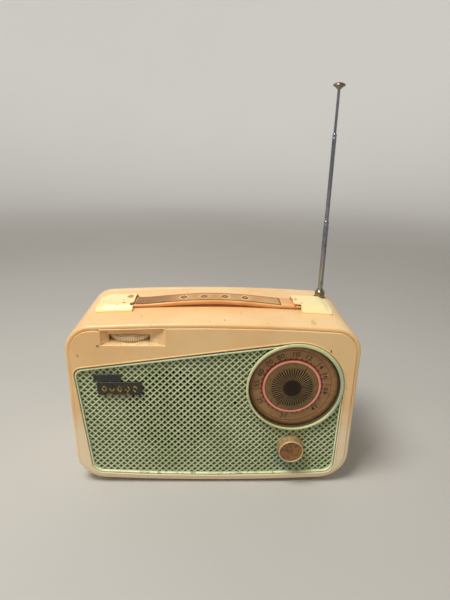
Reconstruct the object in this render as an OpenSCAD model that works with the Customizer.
// A portable valve-era style transistor radio: a moulded cabinet with a lattice grille, a round
// tuning dial, a finger wheel for the volume, a band knob, a strap handle and a telescopic antenna.
// X runs left to right, Y front to back and Z up; the feet stand on Z = 0.

/* [Cabinet] */
// Width of the cabinet
body_w = 280; // [276:1:284]
// Height of the cabinet at its middle, without the feet
body_h = 178.7; // [178:0.1:180]
// Depth of the cabinet from the front rim to the back cover
body_d = 112; // [112:1:116]
// Rise of the crowned top from its corners to its middle
top_rise = 5.2; // [4:0.1:6]
// Drop of the crowned underside from its corners to its middle
bottom_drop = 5; // [4:0.1:6]
// Thickness of the moulded walls
wall = 3; // [2.5:0.1:3]

/* [Dial and knobs] */
// Radius of the green ring round the dial
ring_r = 48; // [47:0.1:48]
// Radius of the clear disc that turns with the dial's hub
dial_disc_r = 28.7; // [26:0.1:30]
// How far the band knob stands out of the cabinet's front rim
knob_out = 9; // [7:0.5:12]
// Radius of the finger wheel
wheel_r = 22.5; // [22:0.5:23]

/* [Grille] */
// Distance between neighbouring ribs of the lattice
cell_pitch = 4.7; // [4.5:0.1:6]

/* [Antenna] */
// Length of antenna that shows above its ferrule, without the cap
antenna_shown = 202; // [190:1:202]

/* [Hidden] */
$fn = 64;
half_w = body_w / 2;
foot_h = 2;
body_top = foot_h + body_h;
front_y = (knob_out - body_d) / 2;

// Outline of the cabinet: two shallow crowns joined by four round corners
top_corner_r = 26;
bottom_corner_r = 30;
top_crown_r = (half_w * half_w + top_rise * top_rise) / (2 * top_rise);
bottom_crown_r = (half_w * half_w + bottom_drop * bottom_drop) / (2 * bottom_drop);
top_crown_z = body_top - top_crown_r;
bottom_crown_z = foot_h + bottom_crown_r;
top_corner_x = half_w - top_corner_r;
bottom_corner_x = half_w - bottom_corner_r;
top_corner_z = top_crown_z + sqrt(pow(top_crown_r - top_corner_r, 2) - pow(top_corner_x, 2));
bottom_corner_z = bottom_crown_z
    - sqrt(pow(bottom_crown_r - bottom_corner_r, 2) - pow(bottom_corner_x, 2));
top_angle = atan2(top_corner_z - top_crown_z, top_corner_x);
bottom_angle = atan2(bottom_crown_z - bottom_corner_z, bottom_corner_x);
corner_steps = 7;
crown_steps = 10;

// Depths behind the front rim
panel_s = -1.2;
border_s = -1.4;
ring_s = -2.3;
ledge_s = 6;
lattice_s = 0.4;
plate_back_s = 3;
scale_s = 3;
cover_s = body_d - 9;
board_s = 62;
board_t = 1.6;

// Dial, band knob and finger wheel
ring_x = 79.2;
dial_z = foot_h + 112;
dial_x = 76.3;
well_r = ring_r - 2.5;
shaft_r = 3;
running_gap = 0.05;
knob_x = 78.6;
knob_z = foot_h + 42.8;
wheel_x = -80;
wheel_s = 24.5;
wheel_z = foot_h + 158.6;
wheel_t = 5.8;

// Loudspeaker
speaker_x = -42;
speaker_z = 86;
speaker_r = 58;
speaker_s = 9;
speaker_screw_r = 54;
screw_r = 1.4;
pilot_r = 1.45;

// Handle
strap_s = 55.5;
strap_w = 25;
strap_travel = 6;
post_x = 100;
post_r = 3;
cover_out_x = 118;
cover_in_x = 81;
cover_depth = 45;
cover_top_z = body_top + 3.8;

// Antenna
antenna_x = 117.3;
antenna_y = 39;
ferrule_top = foot_h + 184;
lower_r = 2.7;
middle_r = 2.1;
top_r = 1.4;
lower_shown = 75.5;
middle_shown = 86.5;
cap_z = ferrule_top + antenna_shown;
antenna_bottom = 14;

// Back cover screws and feet
back_screw_x = 128.5;
back_screw_z = [26, 150];
foot_x = 105;
foot_s = [20, 92];

// ---------- helpers ----------

// Y of the plane that lies s behind the front rim
function y_at(s) = front_y + s;

// Points of an arc about [cx, cz], without its first "skip" and last "skip" points
function arc(cx, cz, r, from, to, steps, skip = 0) =
    [for (i = [skip:steps - skip]) let (a = from + (to - from) * i / steps)
        [cx + r * cos(a), cz + r * sin(a)]];

// The cabinet's outline moved inwards by "inset", anticlockwise from the right side
function outline(inset) = concat(
    arc(top_corner_x, top_corner_z, top_corner_r - inset, 0, top_angle, corner_steps),
    arc(0, top_crown_z, top_crown_r - inset, top_angle, 180 - top_angle, crown_steps, 1),
    arc(-top_corner_x, top_corner_z, top_corner_r - inset, 180 - top_angle, 180, corner_steps),
    arc(-bottom_corner_x, bottom_corner_z, bottom_corner_r - inset, 180, 180 + bottom_angle,
        corner_steps),
    arc(0, bottom_crown_z, bottom_crown_r - inset, 180 + bottom_angle, 360 - bottom_angle,
        crown_steps, 1),
    arc(bottom_corner_x, bottom_corner_z, bottom_corner_r - inset, 360 - bottom_angle, 360,
        corner_steps));

// Height of the cabinet's top surface at x
function top_at(x) = top_crown_z + sqrt(top_crown_r * top_crown_r - x * x);

function turned(v) = [-v[1], v[0]];
function unit(v) = v / norm(v);
function cross2(a, b) = a[0] * b[1] - a[1] * b[0];
function short_way(a) = a > 180 ? a - 360 : a < -180 ? a + 360 : a;

// Where the line from p along u meets the line from q along v
function meet(p, u, q, v) = p + u * (cross2(q - p, v) / cross2(u, v));

// An anticlockwise polygon with edge i, from corner i to corner i + 1, moved inwards by insets[i]
function moved_in(corners, insets) = let (n = len(corners))
    [for (i = [0:n - 1]) let (
        h = (i + n - 1) % n,
        u = unit(corners[i] - corners[h]),
        v = unit(corners[(i + 1) % n] - corners[i]))
        meet(corners[i] + turned(u) * insets[h], u, corners[i] + turned(v) * insets[i], v)];

// A polygon whose corners are rounded with the given radii
function rounded(corners, radii, steps = 6) = let (n = len(corners))
    [for (i = [0:n - 1]) let (
        p = corners[i],
        u = unit(corners[(i + n - 1) % n] - p),
        v = unit(corners[(i + 1) % n] - p),
        half = acos(u * v) / 2,
        r = radii[i],
        c = r == 0 ? p : p + unit(u + v) * r / sin(half),
        a = p + u * (r / tan(half)) - c,
        b = p + v * (r / tan(half)) - c,
        from = atan2(a[1], a[0]),
        sweep = short_way(atan2(b[1], b[0]) - from))
        each r == 0 ? [p] : [for (k = [0:steps]) let (t = from + sweep * k / steps)
            c + r * [cos(t), sin(t)]]];

// A flat shape in the XZ plane, made solid between depths s0 and s1
module slab(s0, s1) {
    translate([0, y_at(s1), 0]) rotate([90, 0, 0]) linear_extrude(s1 - s0) children();
}

// A shape about the Z axis, turned so that its Z runs backwards from depth s at [x, z]
module facing_back(x, z, s) {
    translate([x, y_at(s), z]) rotate([-90, 0, 0]) children();
}

// A round rod along Y
module rod_y(x, z, r, s0, s1) {
    facing_back(x, z, s0) cylinder(r = r, h = s1 - s0);
}

// A block given by its ranges in X, depth and Z
module block(x, s, z) {
    translate([x[0], y_at(s[0]), z[0]]) cube([x[1] - x[0], s[1] - s[0], z[1] - z[0]]);
}

// A skin swept round the cabinet's outline; the profile's points are [inset, depth]
module swept(profile, capped = false) {
    rings = [for (p = profile) outline(p[0])];
    n = len(rings[0]);
    count = len(profile);
    points = [for (j = [0:count - 1]) for (q = rings[j]) [q[0], y_at(profile[j][1]), q[1]]];
    sides = [for (j = [0:capped ? count - 2 : count - 1]) for (i = [0:n - 1])
        let (k = (j + 1) % count, m = (i + 1) % n)
        [j * n + i, j * n + m, k * n + m, k * n + i]];
    front_cap = [for (i = [0:n - 1]) n - 1 - i];
    back_cap = [for (i = [0:n - 1]) (count - 1) * n + i];
    polyhedron(points, capped ? concat(sides, [front_cap, back_cap]) : sides);
}

// ---------- cabinet, front and back ----------

function back_screw_places() = [for (x = [-back_screw_x, back_screw_x]) for (z = back_screw_z) [x, z]];

module cabinet() {
    // round the outside to the back edge, forwards along the inside, over the ledge and the rim
    section = [[0, 2.6], [0, cover_s], [wall, cover_s], [wall, ledge_s + 4], [9, ledge_s + 2.5],
        [9, ledge_s], [4.4, ledge_s], [4.4, 1.1], [3.8, 0.3], [2.7, 0], [1.5, 0.2], [0.5, 1]];
    boss_front = cover_s - 24;
    color([0.97, 0.82, 0.6])
    difference() {
        union() {
            swept(section);
            for (p = back_screw_places()) {
                rod_y(p[0], p[1], 4.2, boss_front, cover_s);
                block(p[0] > 0 ? [p[0], half_w - 2.6] : [2.6 - half_w, p[0]],
                    [boss_front, cover_s], [p[1] - 1.5, p[1] + 1.5]);
            }
        }
        for (p = back_screw_places()) rod_y(p[0], p[1], pilot_r, boss_front + 4, cover_s + 1);
        translate([antenna_x, antenna_y, body_top - 15]) cylinder(r = 6.4, h = 30);
        for (x = [-post_x, post_x])
            translate([x, y_at(strap_s), body_top - 15]) cylinder(r = 1.7, h = 30);
        for (x = [-foot_x, foot_x]) for (s = foot_s)
            translate([x, y_at(s), -1]) cylinder(r = pilot_r, h = 12);
    }
}

// Corners of the grille's outline; the last two lie inside the dial's ring
grille_corners = [[-134, 133.3], [-123.05, 14], [-60, 10.95], [0, 10], [60, 10.95],
    [125.6, 14.1], [127, 110], [ring_x, dial_z],
    [ring_x - ring_r * sin(7.76), dial_z + ring_r * cos(7.76)]];
grille_radii = [8, 12, 0, 0, 0, 12, 2, 0, 0];
border_widths = [2.3, 2.3, 2.3, 2.3, 2.3, 2.3, 2.3, 0.1, 3.5];

// The grille's outline moved inwards by "share" of the border plus "extra"
module grille_area(share, extra) {
    insets = [for (w = border_widths) w * share + extra];
    polygon(rounded(moved_in(grille_corners, insets),
        [for (r = grille_radii) r == 0 ? 0 : max(r - 2 * share - extra, 0.6)]));
}

module at_ring() {
    translate([ring_x, dial_z]) children();
}

// The finger recess: a funnel from the panel's face to the slot of the finger wheel
recess_floor_s = 6;
recess_open = [[-105.8, -45.6], [158.5, 175.5]];
recess_slot = [[-99.5, -60.5], [160.3, 167]];

module front_panel() {
    edge = 4.6;
    color([0.95, 0.78, 0.56])
    difference() {
        union() {
            slab(panel_s, 3) polygon(outline(edge));
            slab(2.5, ledge_s) difference() {
                polygon(outline(edge));
                polygon(outline(edge + 2));
            }
            slab(2.5, recess_floor_s + 1.6) intersection() {
                polygon(outline(9.3));
                translate([recess_open[0][0] - 2, recess_open[1][0] - 2])
                    square([recess_open[0][1] - recess_open[0][0] + 4, 30]);
            }
        }
        slab(panel_s - 1, 3.5) {
            grille_area(0, 0);
            at_ring() circle(r = ring_r + 0.25);
        }
        // the funnel
        hull() {
            block(recess_open[0], [panel_s - 1, panel_s], recess_open[1]);
            block([recess_slot[0][0] - 3, recess_slot[0][1] + 3], [recess_floor_s - 0.1, recess_floor_s],
                [recess_slot[1][0] - 1.2, recess_slot[1][1] + 1.2]);
        }
        block(recess_slot[0], [0, recess_floor_s + 3], recess_slot[1]);
    }
}

// Centres of the square cells that open the lattice in front of the loudspeaker
function cell_centres(reach) = let (n = ceil(reach / cell_pitch))
    [for (i = [-n:n]) for (j = [-n:n]) let (p = [(i - j), (i + j)] * cell_pitch / sqrt(2))
        if (norm(p) < reach) p];

module grille_panel() {
    rib = 1.1;
    color([0.68, 0.75, 0.55])
    difference() {
        union() {
            slab(border_s, plate_back_s) difference() {
                grille_area(0, 0.3);
                grille_area(1, 0.3);
            }
            slab(lattice_s, plate_back_s) grille_area(0.5, 0.3);
            slab(ring_s, ledge_s) at_ring() circle(r = ring_r);
            for (a = [45:90:315]) rod_y(speaker_x + speaker_screw_r * cos(a),
                speaker_z + speaker_screw_r * sin(a), 4, plate_back_s - 1, speaker_s);
        }
        slab(ring_s - 1, scale_s + 1.3) at_ring() circle(r = well_r);
        slab(scale_s, ledge_s + 1) at_ring() circle(r = well_r - 3);
        rod_y(knob_x, knob_z, 5.1, -1, plate_back_s + 1);
        for (a = [45:90:315]) rod_y(speaker_x + speaker_screw_r * cos(a),
            speaker_z + speaker_screw_r * sin(a), pilot_r, plate_back_s + 1, speaker_s + 1);
        slab(lattice_s - 1, plate_back_s + 1) translate([speaker_x, speaker_z])
            for (p = cell_centres(46)) translate(p) rotate(45)
                square(cell_pitch - rib, center = true);
    }
}

module badge_upper() {
    color([0.1, 0.09, 0.08])
    slab(-1.4, lattice_s) translate([-102.2, 124.2]) square([26.3, 7.6], center = true);
}

module badge_lower() {
    corners = [[-112.3, 105.6], [-68.8, 105.6], [-68.8, 119.9], [-112.3, 119.9]];
    color([0.12, 0.11, 0.09])
    slab(-1.8, lattice_s) polygon(rounded(corners, [3, 6, 6, 3]));
}

module dial_scale() {
    color([0.43, 0.33, 0.24])
    difference() {
        rod_y(ring_x, dial_z, well_r - 0.2, scale_s, scale_s + 1.2);
        rod_y(dial_x, dial_z, 5, 0, 8);
    }
}

// The back cover's outer surface turns over its edge to the flat back
module back_cover() {
    start = cover_s + 0.3;
    profile = [[3.6, body_d - 2.6], [2.8, body_d - 3.4], [2.7, start], [0, start],
        [0, body_d - 3.5], [0.5, body_d - 1.7], [1.7, body_d - 0.5], [3.5, body_d]];
    color([0.95, 0.79, 0.57])
    difference() {
        union() {
            swept(profile, true);
            for (p = back_screw_places()) rod_y(p[0], p[1], 4.2, start, body_d - 2);
        }
        for (p = back_screw_places()) {
            rod_y(p[0], p[1], 1.7, cover_s, body_d + 1);
            rod_y(p[0], p[1], 3.4, body_d - 3.4, body_d + 1);
        }
        for (z = [100:7:149]) for (x = [-96, -32, 32])
            block([x - 22, x + 22], [body_d - 4, body_d + 1], [z, z + 2.6]);
    }
}

// A pan-head screw along Y, its head at the back
module back_screw(x, z, s, length, head_r = 2.9) {
    rod_y(x, z, screw_r, s - length, s);
    difference() {
        rod_y(x, z, head_r, s, s + 1.8);
        block([x - head_r, x + head_r], [s + 1, s + 3], [z - 0.4, z + 0.4]);
    }
}

module back_screws() {
    color([0.7, 0.68, 0.62])
    for (p = back_screw_places()) back_screw(p[0], p[1], body_d - 3.4, 16);
}

module feet() {
    color([0.12, 0.11, 0.1])
    difference() {
        for (x = [-foot_x, foot_x]) for (s = foot_s)
            translate([x, y_at(s), 0]) cylinder(r = 7, h = 9);
        slab(0, body_d) polygon(outline(0));
        for (x = [-foot_x, foot_x]) for (s = foot_s) translate([x, y_at(s), -1]) {
            cylinder(r = 1.7, h = 9);
            cylinder(r = 3.3, h = 2.8);
        }
    }
}

module feet_screws() {
    color([0.7, 0.68, 0.62])
    for (x = [-foot_x, foot_x]) for (s = foot_s) translate([x, y_at(s), 0.4]) {
        cylinder(r = screw_r, h = 9);
        cylinder(r = 2.9, h = 1.3);
    }
}

// ---------- loudspeaker ----------

module speaker_frame() {
    depth = 30;
    color([0.55, 0.55, 0.56])
    difference() {
        facing_back(speaker_x, speaker_z, speaker_s) rotate_extrude($fn = 96)
            polygon([[50, 0], [speaker_r, 0], [speaker_r, 1.2], [50.8, 1.2], [50, 8],
                [27, depth], [14, depth], [14, depth - 1.2], [26, depth - 1.2], [48.8, 7.4]]);
        for (a = [45:90:315]) {
            rod_y(speaker_x + speaker_screw_r * cos(a), speaker_z + speaker_screw_r * sin(a),
                1.7, speaker_s - 1, speaker_s + 3);
            facing_back(speaker_x, speaker_z, speaker_s + 10) rotate([0, 0, a + 45])
                translate([24, -11, 0]) cube([30, 22, depth - 14]);
        }
    }
}

module speaker_cone() {
    color([0.2, 0.18, 0.16])
    facing_back(speaker_x, speaker_z, speaker_s) rotate_extrude($fn = 96)
        polygon([[49.5, 1], [49.5, 2], [46, 2.8], [43, 2], [13, 24], [12, 24], [12, 23],
            [42.8, 1], [46, 1.8]]);
}

module speaker_dust_cap() {
    color([0.25, 0.22, 0.2])
    facing_back(speaker_x, speaker_z, speaker_s + 12) rotate_extrude()
        polygon([[0, 3], [8, 4.4], [12.5, 9.6], [13.3, 9.6], [8.5, 3.4], [0, 2]]);
}

module speaker_magnet() {
    back = speaker_s + 30;
    color([0.35, 0.35, 0.36]) {
        rod_y(speaker_x, speaker_z, 25, back, back + 4);
        rod_y(speaker_x, speaker_z, 22, back + 4, back + 11);
        rod_y(speaker_x, speaker_z, 25, back + 11, back + 14);
    }
}

module speaker_screws() {
    color([0.7, 0.68, 0.62])
    for (a = [45:90:315]) back_screw(speaker_x + speaker_screw_r * cos(a),
        speaker_z + speaker_screw_r * sin(a), speaker_s + 1.2, 5);
}

// ---------- circuit board and its components ----------

board_x = [14, 126];
board_z = [58, 158];
board_posts = [[22, 142], [22, 66], [121, 64]];
part_s = board_s + board_t;

module circuit_board() {
    color([0.6, 0.42, 0.2])
    difference() {
        block(board_x, [board_s, part_s], board_z);
        for (p = board_posts) rod_y(p[0], p[1], 1.7, board_s - 1, part_s + 1);
        rod_y(dial_x, dial_z, 5, board_s - 1, part_s + 1);
    }
}

// Pillars between the grille's back and the board
module board_pillars() {
    color([0.8, 0.78, 0.7])
    difference() {
        for (p = board_posts) rod_y(p[0], p[1], 3.5, plate_back_s, board_s);
        for (p = board_posts) rod_y(p[0], p[1], pilot_r, board_s - 12, board_s + 1);
    }
}

module board_screws() {
    color([0.7, 0.68, 0.62])
    for (p = board_posts) back_screw(p[0], p[1], part_s, 9);
}

module if_cans() {
    color([0.75, 0.75, 0.76])
    for (x = [34, 54, 94, 110]) difference() {
        block([x - 5, x + 5], [part_s, part_s + 14], [140, 150]);
        rod_y(x, 145, 2, part_s + 11, part_s + 15);
    }
}

module transistors() {
    color([0.2, 0.2, 0.22])
    for (x = [26:14:96]) rod_y(x, 128, 3, part_s, part_s + 8);
}

module electrolytics() {
    color([0.3, 0.4, 0.6])
    for (x = [28, 44, 96, 112]) rod_y(x, 100, 5, part_s, part_s + 19);
}

module resistors() {
    color([0.65, 0.5, 0.35])
    for (x = [26:16:106]) for (z = [90, 116])
        translate([x, y_at(part_s + 1.7), z]) rotate([0, 90, 0]) cylinder(r = 1.7, h = 8, $fn = 24);
}

// A small laminated transformer with its winding
module transformer(x, z) {
    block([x - 11, x + 11], [part_s, part_s + 12], [z - 9, z + 9]);
    block([x - 7, x + 7], [part_s + 12, part_s + 16], [z - 7, z + 7]);
}

module output_transformer() {
    color([0.4, 0.38, 0.36]) transformer(76, 72);
}

module driver_transformer() {
    color([0.5, 0.3, 0.2]) transformer(103, 72);
}

rod_x = [-112, 78];
rod_s = 88;
rod_z = 166;

module ferrite_rod() {
    color([0.15, 0.15, 0.16])
    translate([rod_x[0], y_at(rod_s), rod_z]) rotate([0, 90, 0])
        cylinder(r = 4.75, h = rod_x[1] - rod_x[0]);
}

module antenna_coils() {
    color([0.75, 0.5, 0.25])
    for (x = [-40, 20]) difference() {
        translate([x, y_at(rod_s), rod_z]) rotate([0, 90, 0]) cylinder(r = 6, h = 26);
        translate([x - 1, y_at(rod_s), rod_z]) rotate([0, 90, 0]) cylinder(r = 4.8, h = 28);
    }
}

module rod_holders() {
    color([0.85, 0.85, 0.8])
    for (x = [-90, 60]) difference() {
        block([x, x + 6], [rod_s - 8, rod_s + 8], [rod_z - 8, rod_z + 8.5]);
        translate([x - 1, y_at(rod_s), rod_z]) rotate([0, 90, 0]) cylinder(r = 4.8, h = 8);
    }
}

// ---------- tuning capacitor and dial ----------

gang_front_s = 20;
vane_pitch = 4;
vane_count = 7;
vane_t = 0.8;
first_vane_s = gang_front_s + 7;
rotor_r = 20;
stator_r = 24;

module tuning_frame() {
    plate = 26;
    color([0.62, 0.62, 0.6])
    difference() {
        union() {
            for (s = [gang_front_s, board_s - 1.5])
                block([dial_x - plate, dial_x + plate], [s, s + 1.5],
                    [dial_z - plate - 2, dial_z + plate]);
            block([dial_x - plate, dial_x + plate], [gang_front_s, board_s],
                [dial_z - plate - 2, dial_z - plate - 0.5]);
            rod_y(dial_x, dial_z, 5, gang_front_s - 6, gang_front_s + 1);
        }
        rod_y(dial_x, dial_z, shaft_r + running_gap, 0, board_s + 1);
    }
}

// A half disc between two angles, as seen from the front
module half_vane(r_in, r_out, from) {
    difference() {
        circle(r = r_out);
        circle(r = r_in);
        rotate(from + 180) translate([-50, 0]) square([100, 50]);
    }
}

module stator_plates() {
    color([0.8, 0.8, 0.78]) {
        for (i = [0:vane_count - 2]) let (s = first_vane_s + (i + 0.5) * vane_pitch)
            slab(s - vane_t / 2, s + vane_t / 2) translate([dial_x, dial_z])
                half_vane(5, stator_r, 180);
        for (a = [200, 270, 340]) rod_y(dial_x + 22.2 * cos(a), dial_z + 22.2 * sin(a), 1.4,
            gang_front_s + 1.5, board_s - 1.5);
    }
}

module rotor_vanes() {
    color([0.78, 0.76, 0.66])
    for (i = [0:vane_count - 1]) let (s = first_vane_s + i * vane_pitch)
        slab(s - vane_t / 2, s + vane_t / 2) translate([dial_x, dial_z]) difference() {
            union() {
                half_vane(shaft_r, rotor_r, 90 - 33);
                circle(r = 4.6);
            }
            circle(r = shaft_r);
        }
}

module tuning_shaft() {
    color([0.72, 0.72, 0.7]) rod_y(dial_x, dial_z, shaft_r, 0, board_s + 1);
}

module dial_disc() {
    color([0.75, 0.6, 0.5])
    difference() {
        rod_y(dial_x, dial_z, dial_disc_r, 1.2, 2.6);
        rod_y(dial_x, dial_z, shaft_r, 0, 4);
    }
}

module dial_hub() {
    flutes = 60;
    hub_r = 20.2;
    color([0.28, 0.2, 0.16])
    difference() {
        union() {
            slab(-0.6, 1.2) translate([dial_x, dial_z])
                polygon([for (i = [0:2 * flutes - 1]) let (a = i * 180 / flutes)
                    (hub_r - (i % 2) * 0.7) * [cos(a), sin(a)]]);
            rod_y(dial_x, dial_z, 14, -1.5, 0);
        }
        rod_y(dial_x, dial_z, shaft_r, 0, 4);
    }
}

// ---------- band switch and finger wheel ----------

module band_switch() {
    color([0.45, 0.33, 0.22])
    difference() {
        union() {
            block([knob_x - 16, knob_x + 16], [plate_back_s + 0.05, 20], [knob_z - 12, knob_z + 12]);
            rod_y(knob_x, knob_z, 5, 0.6, 6);
        }
        rod_y(knob_x, knob_z, shaft_r + running_gap, 0, 16);
    }
}

module band_shaft() {
    color([0.72, 0.72, 0.7]) rod_y(knob_x, knob_z, shaft_r, -5.5, 15.5);
}

module band_knob() {
    color([0.83, 0.68, 0.45])
    difference() {
        facing_back(knob_x, knob_z, -knob_out) rotate_extrude()
            polygon([[0, 2.4], [11.3, 1.6], [11.5, 0.3], [11.9, 0], [12.3, 0.3], [12.5, 1.2],
                [13, 5.4], [13.6, 8.9], [0, 8.9]]);
        rod_y(knob_x, knob_z, shaft_r, -5.5, 2);
    }
}

module band_knob_insert() {
    color([0.47, 0.3, 0.2])
    facing_back(knob_x, knob_z, -knob_out) rotate_extrude()
        polygon([[0, 1.6], [6, 1.3], [11.2, 0.4], [11.3, 1.6], [0, 2.4]]);
}

module volume_wheel() {
    teeth = 72;
    color([0.96, 0.85, 0.66])
    difference() {
        translate([wheel_x, y_at(wheel_s), wheel_z]) linear_extrude(wheel_t)
            polygon([for (i = [0:2 * teeth - 1]) let (a = i * 180 / teeth)
                (wheel_r - (i % 2) * 0.5) * [cos(a), sin(a)]]);
        translate([wheel_x, y_at(wheel_s), wheel_z - 1]) cylinder(r = shaft_r, h = wheel_t + 2);
    }
}

module volume_shaft() {
    color([0.72, 0.72, 0.7])
    translate([wheel_x, y_at(wheel_s), wheel_z - 11]) cylinder(r = shaft_r, h = 11 + wheel_t);
}

pot_top_z = wheel_z - 5;

module volume_pot() {
    color([0.6, 0.6, 0.58])
    difference() {
        translate([wheel_x, y_at(wheel_s), pot_top_z - 13]) cylinder(r = 12, h = 13);
        translate([wheel_x, y_at(wheel_s), pot_top_z - 7])
            cylinder(r = shaft_r + running_gap, h = 10);
    }
}

module pot_bracket() {
    color([0.62, 0.62, 0.6])
    difference() {
        union() {
            block([-95, -63], [14, 57.5], [pot_top_z, pot_top_z + 1.5]);
            block([-95, -63], [56, 57.5], [pot_top_z, 175]);
            block([-95, -63], [56, 68], [173.5, 175]);
        }
        translate([wheel_x, y_at(wheel_s), pot_top_z - 1]) cylinder(r = 4, h = 4);
    }
}

// ---------- batteries ----------

cell_r = 17;
cell_l = 61.5;
cells_x = [-72.5, -10.5];
cells_z = [28.3, 63.7];
cell_s = 87.5;

module battery_box() {
    color([0.3, 0.28, 0.26])
    difference() {
        union() {
            block([-76, 55], [68, 105.5], [9, 83]);
            for (x = [-60, 36]) block([x, x + 4], [68, 102], [7, 10]);
        }
        for (z = cells_z) block([-74.5, 53.5], [70, 106], [z - 17.4, z + 17.4]);
    }
}

module batteries() {
    color([0.7, 0.2, 0.15])
    for (x = cells_x) for (z = cells_z) translate([x, y_at(cell_s), z]) rotate([0, 90, 0]) {
        cylinder(r = cell_r, h = cell_l - 2);
        cylinder(r = 5, h = cell_l);
    }
}

module battery_contacts() {
    color([0.8, 0.78, 0.7])
    for (x = [-74.4, 51.8]) for (z = cells_z)
        block([x, x + 1.2], [cell_s - 7, cell_s + 7], [z - 7, z + 7]);
}

// ---------- handle ----------

// The cover of the strap's end, drawn on the right: flat on top over the strap, sloping down in
// front of it and behind it. Its foot follows the cabinet's crown.
module handle_cover() {
    s0 = strap_s - cover_depth / 2;
    s1 = strap_s + cover_depth / 2;
    low_z = body_top - 9;
    edge_z = top_at(cover_out_x) + 2.6;
    peak_z = cover_top_z + 0.8;
    slope = (cover_depth - strap_w) / 2 - 2;
    ceiling_z = cover_top_z - 1.6;
    difference() {
        intersection() {
            slab(s0, s1) polygon([[cover_in_x, low_z], [cover_out_x, low_z],
                [cover_out_x, cover_top_z - 4.5], [cover_out_x - 1.5, cover_top_z - 2],
                [cover_out_x - 5, cover_top_z - 0.6], [cover_in_x + 6, cover_top_z + 0.6],
                [cover_in_x, peak_z]]);
            translate([cover_in_x - 1, 0, 0]) rotate([90, 0, 90])
                linear_extrude(cover_out_x - cover_in_x + 2)
                    polygon([[y_at(s0), low_z], [y_at(s1), low_z], [y_at(s1), edge_z],
                        [y_at(s1 - slope), peak_z], [y_at(s0 + slope), peak_z],
                        [y_at(s0), edge_z]]);
        }
        slab(s0 - 1, s1 + 1) polygon(outline(0));
        difference() {
            block([cover_in_x - 1, cover_out_x - 4],
                [strap_s - strap_w / 2 - 0.6, strap_s + strap_w / 2 + 0.6], [low_z, ceiling_z]);
            translate([post_x, y_at(strap_s), low_z]) cylinder(r = post_r, h = 20);
        }
        translate([post_x, y_at(strap_s), low_z]) cylinder(r = 1.55, h = ceiling_z - low_z);
    }
}

module handle_cover_right() {
    color([0.98, 0.91, 0.67]) handle_cover();
}

module handle_cover_left() {
    color([0.98, 0.91, 0.67]) mirror([1, 0, 0]) handle_cover();
}

module handle_screws() {
    color([0.7, 0.68, 0.62])
    for (x = [-post_x, post_x]) translate([x, y_at(strap_s), top_at(post_x) - wall - 2.1]) {
        cylinder(r = 3.4, h = 1.8);
        cylinder(r = 1.5, h = 8.5);
    }
}

strap_left_x = -113;
strap_right_x = 107;
strap_end_z = top_at(cover_in_x) + 0.65;
arch_half = 80;
arch_rise = 4;
strap_t = 3;
strap_extra_t = 1.4;

// The strap's underside is level inside the covers and arches up between them
function arch(x) = abs(x) < arch_half ? pow(cos(90 * x / arch_half), 2) : 0;
function strap_low(x) = strap_end_z + arch_rise * arch(x);
function strap_thick(x) = strap_t + strap_extra_t * (1 - pow(1 - arch(x), 4));
strap_xs = [for (i = [0:40]) strap_left_x + (strap_right_x - strap_left_x) * i / 40];

module handle_strap() {
    // each post stands in a slot that lets the strap shift by its travel
    slots = [[-post_x - strap_travel, -post_x], [post_x - strap_travel, post_x]];
    color([0.88, 0.62, 0.38])
    difference() {
        slab(strap_s - strap_w / 2, strap_s + strap_w / 2) polygon(concat(
            [for (x = strap_xs) [x, strap_low(x)]],
            [for (i = [len(strap_xs) - 1:-1:0]) let (x = strap_xs[i])
                [x, strap_low(x) + strap_thick(x)]]));
        for (slot = slots) block([slot[0] - post_r - 0.3, slot[1] + post_r + 0.3],
            [strap_s - post_r - 0.3, strap_s + post_r + 0.3], [body_top - 12, body_top + 12]);
    }
}

// The embossed strip that lies on top of the strap
module strap_inlay() {
    half_strip = 10.2;
    xs = [for (i = [0:30]) -80 + (68 + 80) * i / 30];
    function strip_z(x) = strap_low(x) + strap_thick(x);
    color([0.65, 0.47, 0.3])
    slab(strap_s - half_strip, strap_s + half_strip) polygon(concat(
        [for (x = xs) [x, strip_z(x) + 0.02]],
        [for (i = [len(xs) - 1:-1:0]) [xs[i], strip_z(xs[i]) + 0.5]]));
}

// ---------- telescopic antenna ----------

// A tube, or a rod where r_in is 0, on the antenna's axis
module mast(r_out, r_in, z0, z1) {
    translate([antenna_x, antenna_y, 0]) difference() {
        translate([0, 0, z0]) cylinder(r = r_out, h = z1 - z0);
        if (r_in > 0) translate([0, 0, z0 - 1]) cylinder(r = r_in, h = z1 - z0 + 2);
    }
}

lower_top = ferrule_top + lower_shown;
middle_top = lower_top + middle_shown;
lower_l = 160;
middle_l = 155;
top_l = 150;

module antenna_tube() {
    color([0.7, 0.7, 0.7]) mast(3.4, lower_r + running_gap, antenna_bottom, ferrule_top - 3);
}

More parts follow.
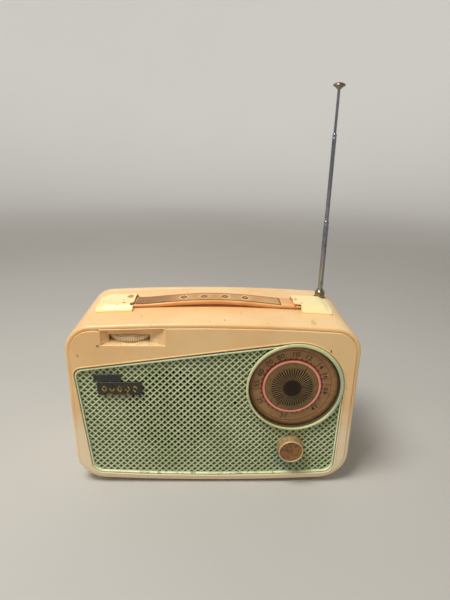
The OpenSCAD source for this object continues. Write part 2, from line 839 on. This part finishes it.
module antenna_ferrule() {
    seat = foot_h + 167;
    color([0.75, 0.74, 0.7])
    translate([antenna_x, antenna_y, 0]) difference() {
        rotate_extrude() polygon([[lower_r + running_gap, seat], [7.5, seat], [7.5, seat + 2],
            [5.5, seat + 2], [5.5, ferrule_top - 4.4], [5, ferrule_top - 2.4],
            [4, ferrule_top - 0.8], [lower_r + 0.6, ferrule_top], [lower_r + running_gap, ferrule_top]]);
        translate([0, 0, seat - 1]) cylinder(r = 3.4, h = ferrule_top - 3 - seat + 1);
    }
}

module antenna_clamp() {
    z = 60;
    color([0.62, 0.62, 0.6])
    difference() {
        union() {
            translate([antenna_x, antenna_y, z]) cylinder(r = 5.4, h = 8);
            translate([antenna_x, antenna_y - 1, z]) cube([half_w - wall - 0.5 - antenna_x, 2, 8]);
        }
        translate([antenna_x, antenna_y, z - 1]) cylinder(r = 3.4, h = 10);
    }
}

module antenna_lower() {
    color([0.78, 0.78, 0.8]) mast(lower_r, middle_r + running_gap, lower_top - lower_l, lower_top);
}

module antenna_middle() {
    color([0.78, 0.78, 0.8]) mast(middle_r, top_r + running_gap, middle_top - middle_l, middle_top);
}

module antenna_top() {
    color([0.78, 0.78, 0.8]) mast(top_r, 0, cap_z - top_l, cap_z + 1);
}

module antenna_cap() {
    color([0.6, 0.57, 0.5])
    translate([antenna_x, antenna_y, cap_z]) difference() {
        rotate_extrude() polygon([[0, 0], [2.1, 0], [2.6, 0.6], [5.6, 2.8], [6, 3.6], [5.4, 4.5],
            [3, 5.6], [0, 6]]);
        translate([0, 0, -1]) cylinder(r = top_r, h = 2);
    }
}

cabinet();
front_panel();
grille_panel();
badge_upper();
badge_lower();
dial_scale();
speaker_frame();
speaker_cone();
speaker_dust_cap();
speaker_magnet();
speaker_screws();
circuit_board();
board_pillars();
if_cans();
transistors();
electrolytics();
resistors();
output_transformer();
driver_transformer();
board_screws();
ferrite_rod();
antenna_coils();
rod_holders();
tuning_frame();
stator_plates();
volume_pot();
pot_bracket();
band_switch();
battery_box();
batteries();
battery_contacts();
back_cover();
back_screws();
feet();
feet_screws();
handle_cover_left();
handle_cover_right();
handle_screws();
antenna_ferrule();
antenna_tube();
antenna_clamp();
dial_disc();
dial_hub();
tuning_shaft();
rotor_vanes();
band_knob();
band_knob_insert();
band_shaft();
volume_wheel();
volume_shaft();
handle_strap();
strap_inlay();
antenna_lower();
antenna_middle();
antenna_top();
antenna_cap();
